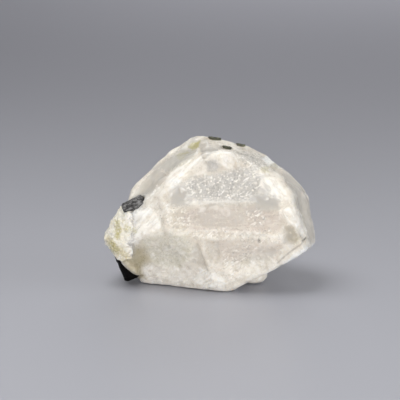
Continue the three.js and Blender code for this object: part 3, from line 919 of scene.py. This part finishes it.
@dataclass(frozen=True)
class FeldsparFinish:
    """Cream feldspar, grainy, with yellow-green stains between the grains."""

    pale: Colour = (0.80, 0.775, 0.69)
    warm: Colour = (0.60, 0.54, 0.38)
    stain: Colour = (0.48, 0.44, 0.23)
    grey: Colour = (0.46, 0.46, 0.45)
    white: Colour = (0.90, 0.885, 0.85)
    optics: Optics = Optics(scatter=0.2, tint=(1.0, 0.85, 0.6), depth=0.8)
    grain: Cells = Cells(0.55)
    grain_depth: float = 0.22
    fine: Noise = Noise(0.3, 3, 0.6)
    fine_depth: float = 0.06
    fray_strength: float = 2.5
    patches: Noise = Noise(2.4, 4, 0.6, 0.5)
    clouds: Noise = Noise(1.7, 3, 0.6)

    def material(self) -> bpy.types.Material:
        """Builds the material.

        Returns:
            The crust's material.
        """
        r = Recipe("feldspar")
        grain, fine = r.cells(self.grain, "Distance"), r.noise(self.fine)
        back = 1 - r.cover(Layer.FRONT)
        ragged = (fine - 0.5) * self.fray_strength
        grey = r.cover(Layer.GREY, ragged).at_least(r.noise(self.clouds).ramp(0.5, 0.66) * back)
        stain = r.cover(Layer.STAIN, ragged).at_least(r.noise(self.patches).ramp(0.5, 0.64) * back)
        colour = r.coat(
            self.pale,
            (self.warm, r.cells(self.grain).ramp(0.5, 0.9) * 0.6),
            (self.grey, grey * 0.6),
            (self.pale, r.cover(Layer.WHITE, ragged)),
            (self.warm, r.cover(Layer.OLIVE, ragged)),
            (self.stain, stain * grain.ramp(0.2, 0.6, 0.35, 0.9)),
            (self.white, r.cover(Layer.COOL_AND_HIGHLIGHT, ragged)),
        )
        relief = r.bump(fine, self.fine_depth, r.bump(grain, self.grain_depth))
        rough = fine.ramp(0.3, 0.7, 0.5, 0.8)
        return r.finish(r.surface(self.optics, colour, rough, relief))


@dataclass(frozen=True)
class TourmalineFinish:
    """Black tourmaline: fine ribs along it, pale dust in its grooves and a glassy gloss.

    The veil is the share of the dust that lies everywhere.
    """

    name: str
    turn: Point
    dusty: float
    rough: float
    shine: float
    black: Colour = (0.008, 0.007, 0.008)
    grey: Colour = (0.26, 0.26, 0.262)
    refraction: float = 1.63
    ribs: Noise = Noise(0.3, 4, 0.7, 0.3, (1.0, 1.0, 3.5))
    rib_depth: float = 0.15
    chips: Cells = Cells(0.5)
    chip_depth: float = 0.12
    wear: Noise = Noise(0.6, 4, 0.65)
    veil: float = 0.12

    def material(self) -> bpy.types.Material:
        """Builds the material.

        Returns:
            The crystal's material.
        """
        r = Recipe(self.name)
        ribs = r.noise(replace(self.ribs, turn=self.turn))
        chips, wear = r.cells(self.chips), r.noise(self.wear)
        dust = ribs.ramp(0.42, 0.6) * wear.ramp(0.38, 0.52) + chips.ramp(0.7, 0.9) * 0.6
        colour = r.coat(self.black, (self.grey, dust * self.dusty + self.dusty * self.veil))
        relief = r.bump(ribs, self.rib_depth, r.bump(chips, self.chip_depth))
        rough = wear.ramp(0.35, 0.65, self.rough, self.rough + 0.2)
        optics = Optics(self.refraction, shine=self.shine)
        return r.finish(r.surface(optics, colour, rough, relief))


@dataclass(frozen=True)
class MicaFinish:
    """Dark green-black mica with a satin sheen."""

    dark: Colour = (0.075, 0.077, 0.064)
    green: Colour = (0.20, 0.205, 0.13)
    patches: Noise = Noise(0.7, 4, 0.6, 0.4)
    waves: Noise = Noise(0.35, 3, 0.6)
    wave_depth: float = 0.05

    def material(self) -> bpy.types.Material:
        """Builds the material.

        Returns:
            The flakes' material.
        """
        r = Recipe("mica")
        patches = r.noise(self.patches)
        colour = r.coat(self.dark, (self.green, patches.ramp(0.42, 0.62)))
        relief = r.bump(r.noise(self.waves), self.wave_depth)
        return r.finish(r.surface(Optics(), colour, patches.ramp(0.3, 0.7, 0.25, 0.5), relief))


# Modelling


class Bench:
    """The operations that every piece is modelled with.

    Points nearer than WELD are merged, a group's weights go in STEPS, and EASE is how far one
    round of smoothing goes, from 0 to 1.
    """

    WELD = 0.002
    STEPS = 20
    EASE = 0.5

    @staticmethod
    def clear_selection() -> None:
        """Deselects everything in object mode."""
        if bpy.context.object and bpy.context.object.mode != "OBJECT":
            bpy.ops.object.mode_set(mode="OBJECT")
        bpy.ops.object.select_all(action="DESELECT")

    @classmethod
    def pick(cls, piece: bpy.types.Object) -> None:
        """Selects one object alone and makes it active.

        Args:
            piece: the object.
        """
        cls.clear_selection()
        piece.select_set(True)
        bpy.context.view_layer.objects.active = piece

    @classmethod
    def apply(cls, piece: bpy.types.Object, kind: str, **settings: object) -> None:
        """Adds a modifier, sets it and applies it.

        Args:
            piece: the object.
            kind: the modifier's type.
            **settings: its properties.
        """
        cls.pick(piece)
        modifier = piece.modifiers.new(kind.title(), kind)
        for key, setting in settings.items():
            setattr(modifier, key, setting)
        bpy.ops.object.modifier_apply(modifier=modifier.name)

    @classmethod
    def remesh(cls, piece: bpy.types.Object, voxel: float, smooth: bool = True) -> None:
        """Meshes a piece anew in small even faces.

        Args:
            piece: the piece.
            voxel: the size of a face, in millimetres.
            smooth: whether the faces are shaded smooth.
        """
        settings = {"mode": "VOXEL", "voxel_size": voxel * MM, "use_smooth_shade": smooth}
        cls.apply(piece, "REMESH", **settings)

    @classmethod
    def swell(cls, piece: bpy.types.Object, height: float, group: str = "") -> None:
        """Moves a piece's points outwards.

        Args:
            piece: the piece.
            height: how far, in millimetres. Below 0 they move inwards.
            group: the vertex group that moves, all points by default.
        """
        cls.apply(piece, "DISPLACE", strength=height * MM, mid_level=0.0, vertex_group=group)

    @classmethod
    def wear(cls, piece: bpy.types.Object, times: int, group: str = "") -> None:
        """Wears a piece's edges.

        Args:
            piece: the piece.
            times: how often it is smoothed.
            group: the vertex group that is worn, all points by default.
        """
        cls.apply(piece, "SMOOTH", factor=cls.EASE, iterations=times, vertex_group=group)

    @classmethod
    def double(cls, thing: bpy.types.Object) -> bpy.types.Object:
        """Duplicates an object.

        Args:
            thing: the object.

        Returns:
            The copy.
        """
        cls.pick(thing)
        bpy.ops.object.duplicate()
        return bpy.context.view_layer.objects.active

    @classmethod
    def copy_of(cls, node: bpy.types.Object, name: str) -> bpy.types.Object:
        """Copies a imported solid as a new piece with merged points.

        Args:
            node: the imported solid's object.
            name: the new piece's name.

        Returns:
            The copy.
        """
        piece = cls.double(node)
        piece.name = name
        piece.data.name = name
        piece.data.materials.clear()
        bpy.ops.object.mode_set(mode="EDIT")
        bpy.ops.mesh.select_all(action="SELECT")
        bpy.ops.mesh.remove_doubles(threshold=cls.WELD * MM)
        bpy.ops.mesh.faces_shade_smooth()
        bpy.ops.object.mode_set(mode="OBJECT")
        return piece

    @classmethod
    def drop_crumbs(cls, piece: bpy.types.Object) -> bpy.types.Object:
        """Keeps the largest of a piece's bodies and drops crumbs that remeshing left.

        Args:
            piece: the piece.

        Returns:
            The body that is kept, under the piece's name.
        """
        name = piece.name
        cls.pick(piece)
        bpy.ops.mesh.separate(type="LOOSE")
        bodies = sorted(bpy.context.selected_objects, key=lambda body: len(body.data.vertices))
        for crumb in bodies[:-1]:
            bpy.data.meshes.remove(crumb.data)
        bodies[-1].name = name
        bodies[-1].data.name = name
        return bodies[-1]

    @classmethod
    def gather(cls, piece: bpy.types.Object, name: str, weights: np.ndarray) -> None:
        """Makes a vertex group of a piece's points.

        Args:
            piece: the piece.
            name: the group's name.
            weights: each point's weight, from 0 to 1.
        """
        group = piece.vertex_groups.new(name=name)
        steps = np.round(np.clip(weights, 0, 1) * cls.STEPS).astype(int)
        for step in range(1, cls.STEPS + 1):
            group.add(np.nonzero(steps == step)[0].tolist(), step / cls.STEPS, "REPLACE")

    @staticmethod
    def points(piece: bpy.types.Object, what: str = "co") -> np.ndarray:
        """Reads a piece's points, or their normals.

        Args:
            piece: the piece.
            what: co for the places, in metres, or normal.

        Returns:
            One row for each point.
        """
        rows = np.empty(len(piece.data.vertices) * 3)
        piece.data.vertices.foreach_get(what, rows)
        return rows.reshape(-1, 3)

    @staticmethod
    def store(piece: bpy.types.Object, name: str, values: np.ndarray) -> None:
        """Stores a number for each point of a piece under a name."""
        attribute = piece.data.attributes.new(name, "FLOAT", "POINT")
        attribute.data.foreach_set("value", values)

    @staticmethod
    def dress(piece: bpy.types.Object, material: bpy.types.Material, slot: str, node: str) -> None:
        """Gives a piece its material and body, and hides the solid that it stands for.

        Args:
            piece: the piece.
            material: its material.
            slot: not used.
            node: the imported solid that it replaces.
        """
        piece.data.materials.append(material)
        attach(piece, BODY)
        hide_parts(node)
        LOG.info("%s: %d faces", piece.name, len(piece.data.polygons))


class Pattern(Enum):
    """A pattern that relief is pressed in."""

    SOFT = "CLOUDS"
    PITS = "VORONOI"
    FACETS = "FACETS"


@dataclass(frozen=True)
class Relief:
    """Unevenness pressed into a mesh: its pattern, its size and height in millimetres.

    It may keep to a vertex group, or with outside set keep out of it. What the pattern gives at
    the middle stays where it is. The detail is the number of a soft pattern's finer layers.
    """

    pattern: Pattern
    size: float
    height: float
    group: str = ""
    middle: float = 0.5
    outside: bool = False
    detail: int = 2

    def press(self, piece: bpy.types.Object) -> None:
        """Displaces the mesh by the pattern.

        Args:
            piece: the piece.
        """
        soft = self.pattern is Pattern.SOFT
        texture = bpy.data.textures.new(f"{piece.name}_relief", "CLOUDS" if soft else "VORONOI")
        texture.noise_scale = self.size * MM
        if soft:
            texture.noise_depth = self.detail
        elif self.pattern is Pattern.FACETS:
            texture.weight_1, texture.weight_2 = -1.0, 1.0
        Bench.apply(
            piece,
            "DISPLACE",
            texture=texture,
            texture_coords="LOCAL",
            strength=self.height * MM,
            mid_level=self.middle,
            vertex_group=self.group,
            invert_vertex_group=self.outside,
        )


@dataclass(frozen=True)
class Spot:
    """A round place on the stone: the name of its vertex group, its middle and its reach."""

    name: str
    middle: Point
    reach: float
    fade: float = 0.5

    def gather(self, piece: bpy.types.Object) -> None:
        """Makes a vertex group of the points within reach, which fades out at its end.

        Args:
            piece: the piece.
        """
        away = np.linalg.norm(Bench.points(piece) / MM - np.array(self.middle), axis=1)
        Bench.gather(piece, self.name, (self.reach - away) / self.fade)


@dataclass
class Topaz:
    """The stone itself."""

    nodes: dict[str, bpy.types.Object]
    sheet: Sheet
    voxel: float = 0.215
    last_voxel: float = 0.226
    smoothing: int = 1
    heights: tuple[tuple[Layer, float], ...] = ((Layer.RAISED, 0.75), (Layer.SUNKEN, -0.7))
    tooth: Spot = Spot("tooth", (-2.1, -5.2, 26.7), 1.6)
    tooth_wear: int = 20
    tooth_last_wear: int = 4
    knob: Spot = Spot("knob", (8.4, -5.1, 1.7), 3.0)
    reliefs: tuple[Relief, ...] = (
        Relief(Pattern.FACETS, 3.2, 0.40, Layer.CLEAR.value, outside=True),
        Relief(Pattern.SOFT, 1.2, 0.16),
        Relief(Pattern.FACETS, 2.2, 0.7, "knob", 0.3),
        Relief(Pattern.PITS, 0.8, 0.10, Layer.SPARKLE.value),
        Relief(Pattern.FACETS, 1.4, 0.55, Layer.WHITE.value),
    )
    arris_wear: int = 200

    def mark_arrises(self, piece: bpy.types.Object) -> None:
        """Stores how far each point stands out from a worn copy of the stone, in millimetres.

        Args:
            piece: the stone.
        """
        worn = Bench.double(piece)
        Bench.wear(worn, self.arris_wear)
        lift = (Bench.points(piece) - Bench.points(worn)) * Bench.points(piece, "normal")
        bpy.data.meshes.remove(worn.data)
        Bench.store(piece, ARRIS, lift.sum(axis=1) / MM)

    def build(self) -> None:
        """Models and dresses the stone."""
        piece = Bench.copy_of(self.nodes["topaz_crystal"], "topaz_stone")
        Bench.remesh(piece, self.voxel)
        piece = Bench.drop_crumbs(piece)
        Bench.wear(piece, self.smoothing)
        for spot in (self.tooth, self.knob):
            spot.gather(piece)
        Bench.wear(piece, self.tooth_wear, self.tooth.name)
        layers = (Layer.RAISED, Layer.SUNKEN, Layer.SPARKLE, Layer.WHITE, Layer.CLEAR)
        self.sheet.weigh(piece, STONE_MARKS, layers)
        for layer, height in self.heights:
            Bench.swell(piece, height, layer.value)
        for relief in self.reliefs:
            relief.press(piece)
        Bench.wear(piece, self.tooth_last_wear, self.tooth.name)
        piece.vertex_groups.clear()
        Bench.remesh(piece, self.last_voxel)
        piece = Bench.drop_crumbs(piece)
        Bench.wear(piece, self.smoothing)
        self.sheet.paint(piece, STONE_MARKS)
        self.mark_arrises(piece)
        Bench.dress(piece, TopazFinish().material(), "topaz", "topaz_crystal")


@dataclass
class Crust:
    """The feldspar crust on the stone's left end."""

    nodes: dict[str, bpy.types.Object]
    sheet: Sheet
    voxel: float = 0.2
    swell: float = 1.8
    growth: float = 0.3
    flare: float = 0.75
    reach: float = 1.6
    smoothing: int = 28
    reliefs: tuple[Relief, ...] = (
        Relief(Pattern.FACETS, 1.6, 0.35),
        Relief(Pattern.PITS, 0.7, 0.25),
        Relief(Pattern.SOFT, 0.35, 0.25),
    )

    def flare_out(self, piece: bpy.types.Object) -> None:
        """Spreads the crust a little where it meets the stone, so that no groove is left between.

        Args:
            piece: the crust.
        """
        solid = self.nodes["topaz_crystal"].data
        stone = BVHTree.FromPolygons(
            [point.co for point in solid.vertices], [face.vertices for face in solid.polygons]
        )
        group = piece.vertex_groups.new(name="rim")
        for point in piece.data.vertices:
            gap = stone.find_nearest(point.co)[3] / MM
            group.add([point.index], max(0.0, 1 - gap / self.reach), "REPLACE")
        Bench.swell(piece, self.flare, "rim")
        piece.vertex_groups.clear()

    def build(self) -> None:
        """Models and dresses the crust.

        It is swollen, worn and shrunk again, which melts its mounds into one another.
        """
        piece = Bench.copy_of(self.nodes["feldspar_crust"], "crust_grains")
        Bench.remesh(piece, 2 * self.voxel, smooth=False)
        Bench.swell(piece, self.swell)
        Bench.remesh(piece, self.voxel)
        Bench.wear(piece, self.smoothing)
        Bench.swell(piece, self.growth - self.swell)
        self.flare_out(piece)
        Bench.wear(piece, self.smoothing)
        for relief in self.reliefs:
            relief.press(piece)
        self.sheet.paint(piece, CRUST_MARKS)
        Bench.dress(piece, FeldsparFinish().material(), "feldspar", "feldspar_crust")


@dataclass
class Tourmaline:
    """One black crystal."""

    nodes: dict[str, bpy.types.Object]
    node: str
    finish: TourmalineFinish
    reliefs: tuple[Relief, ...]
    voxel: float = 0.1
    growth: float = 0.25
    crease: float = 28.0

    def build(self) -> None:
        """Models and dresses the crystal."""
        piece = Bench.copy_of(self.nodes[self.node], f"{self.node}_crystal")
        Bench.remesh(piece, self.voxel, smooth=False)
        Bench.swell(piece, self.growth)
        for relief in self.reliefs:
            relief.press(piece)
        Bench.pick(piece)
        bpy.ops.object.shade_smooth_by_angle(angle=math.radians(self.crease))
        Bench.dress(piece, self.finish.material(), "tourmaline", self.node)


@dataclass
class Flakes:
    """The three mica flakes in the stone's top."""

    nodes: dict[str, bpy.types.Object]
    names: tuple[str, ...] = ("mica_flake_left", "mica_flake_middle", "mica_flake_right")
    voxel: float = 0.06
    growth: float = 0.22
    thinning: float = -0.11
    rim_fade: float = 1.5
    reliefs: tuple[Relief, ...] = (
        Relief(Pattern.FACETS, 0.8, 1.1, "rim"),
        Relief(Pattern.SOFT, 0.4, 0.1),
    )

    def build(self) -> None:
        """Models and dresses the flakes."""
        material = MicaFinish().material()
        for name in self.names:
            piece = Bench.copy_of(self.nodes[name], f"{name}_plate")
            Bench.remesh(piece, self.voxel)
            places = Bench.points(piece)
            thin = np.linalg.eigh(np.cov((places - places.mean(axis=0)).T))[1][:, 0]
            flat = np.abs(Bench.points(piece, "normal") @ thin)
            Bench.gather(piece, "rim", 1 - flat * self.rim_fade)
            Bench.gather(piece, "flat", flat)
            Bench.swell(piece, self.growth, "rim")
            Bench.swell(piece, self.thinning, "flat")
            for relief in self.reliefs:
                relief.press(piece)
            piece.vertex_groups.clear()
            Bench.dress(piece, material, "mica", name)


# The studio


@dataclass
class Lamp:
    """A soft round lamp: its place and aim in millimetres, width, power and colour.

    A fill only lightens the shadows: it is not mirrored in anything.
    """

    name: str
    place: Point
    aim: Point
    width: float
    power: float
    colour: Colour = (1.0, 1.0, 1.0)
    fill: bool = True

    def build(self) -> None:
        """Adds the lamp."""
        Bench.clear_selection()
        bpy.ops.object.light_add(type="AREA", location=Vector(self.place) * MM)
        lamp = bpy.context.object
        lamp.name = self.name
        lamp.data.shape = "DISK"
        lamp.data.size = self.width * MM
        lamp.data.energy = self.power
        lamp.data.color = self.colour
        lamp.visible_camera = False
        lamp.visible_glossy = not self.fill
        way = Vector(self.aim) - Vector(self.place)
        lamp.rotation_euler = way.to_track_quat("-Z", "Y").to_euler()


@dataclass
class Studio:
    """The table, the light and the camera."""

    aim: Point = MIDDLE
    elevation: float = LEAN
    distance: float = DISTANCE
    width_seen: float = 77.1
    film: float = 36.0
    seen_from: float = 10.0
    seen_to: float = 20000.0
    table: float = 4000.0
    # The table darkens from near to far: painted shade for the light falling off towards the back
    table_near: Colour = (0.435, 0.447, 0.505)
    table_far_shade: Colour = (0.170, 0.174, 0.206)
    table_shade_span: Pair = (-140.0, 250.0)
    table_rough: float = 0.4
    table_shine: float = 0.4
    sky: Colour = (1.0, 0.99, 0.97)
    sky_strength: float = 0.35
    lamps: tuple[Lamp, ...] = (
        Lamp("key", (-105, 30, 300), (0, 0, 12), 220, 0.60, (1.0, 0.985, 0.95), False),
        Lamp("front", (-20, -430, 62), (0, 0, 12), 140, 1.36, (1.0, 0.97, 0.925)),
        Lamp("right", (400, -80, 60), (0, 0, 12), 220, 0.78, (0.98, 0.99, 1.0)),
        Lamp("back", (60, 380, 110), (0, 0, 12), 240, 0.55, (1.0, 0.985, 0.96)),
    )

    def build_camera(self) -> None:
        """Adds the camera at the photograph's angle."""
        tilt = math.radians(self.elevation)
        away = Vector((0, -math.cos(tilt), math.sin(tilt))) * self.distance
        Bench.clear_selection()
        bpy.ops.object.camera_add(location=(Vector(self.aim) + away) * MM)
        camera = bpy.context.object
        camera.rotation_euler = (math.pi / 2 - tilt, 0, 0)
        camera.data.sensor_width = self.film
        camera.data.lens = self.film * self.distance / self.width_seen
        camera.data.clip_start = self.seen_from * MM
        camera.data.clip_end = self.seen_to * MM
        bpy.context.scene.camera = camera

    def build_table(self) -> None:
        """Adds the table top, coloured darker towards the back as painted shade."""
        Bench.clear_selection()
        bpy.ops.mesh.primitive_plane_add(size=self.table * MM, location=(0, 0, 0))
        table = bpy.context.object
        table.name = "table"
        r = Recipe("table")
        # Painted shade: the colour darkens towards the back
        colour = r.coat(self.table_near, (self.table_far_shade, r.along("Y").ramp(*self.table_shade_span)))
        top = r.surface(Optics(shine=self.table_shine), colour, self.table_rough)
        table.data.materials.append(r.finish(top))

    def build_light(self) -> None:
        """Adds the soft surroundings and the lamps."""
        world = bpy.data.worlds.new("studio")
        world.use_nodes = True
        sky = world.node_tree.nodes["Background"]
        sky.inputs["Color"].default_value = (*self.sky, 1.0)
        sky.inputs["Strength"].default_value = self.sky_strength
        bpy.context.scene.world = world
        for lamp in self.lamps:
            lamp.build()

    def build(self) -> None:
        """Sets up the whole studio."""
        bpy.context.scene.view_settings.view_transform = "Standard"
        self.build_camera()
        self.build_table()
        self.build_light()


def main() -> None:
    """Builds the dressed stone in its studio."""
    logging.basicConfig(level=logging.INFO, format="%(name)s: %(message)s")
    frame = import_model()
    nodes = frame["nodes"]
    Studio().build()
    sheet = Sheet()
    Topaz(nodes, sheet).build()
    Crust(nodes, sheet).build()
    Tourmaline(
        nodes,
        "tourmaline_upper",
        TourmalineFinish("tourmaline_upper", (0, 69, 0), 0.75, 0.35, 0.25),
        (Relief(Pattern.FACETS, 1.2, 0.35), Relief(Pattern.PITS, 0.6, 0.2)),
    ).build()
    Tourmaline(
        nodes,
        "tourmaline_lower",
        TourmalineFinish(
            "tourmaline_lower", (-8, -20, 0), 0.01, 0.3, 0.03, (0.003, 0.0025, 0.0025)
        ),
        (Relief(Pattern.FACETS, 2.0, 0.6), Relief(Pattern.PITS, 1.0, 0.15)),
    ).build()
    Flakes(nodes).build()
    Bench.clear_selection()


if __name__ == "__main__":
    main()
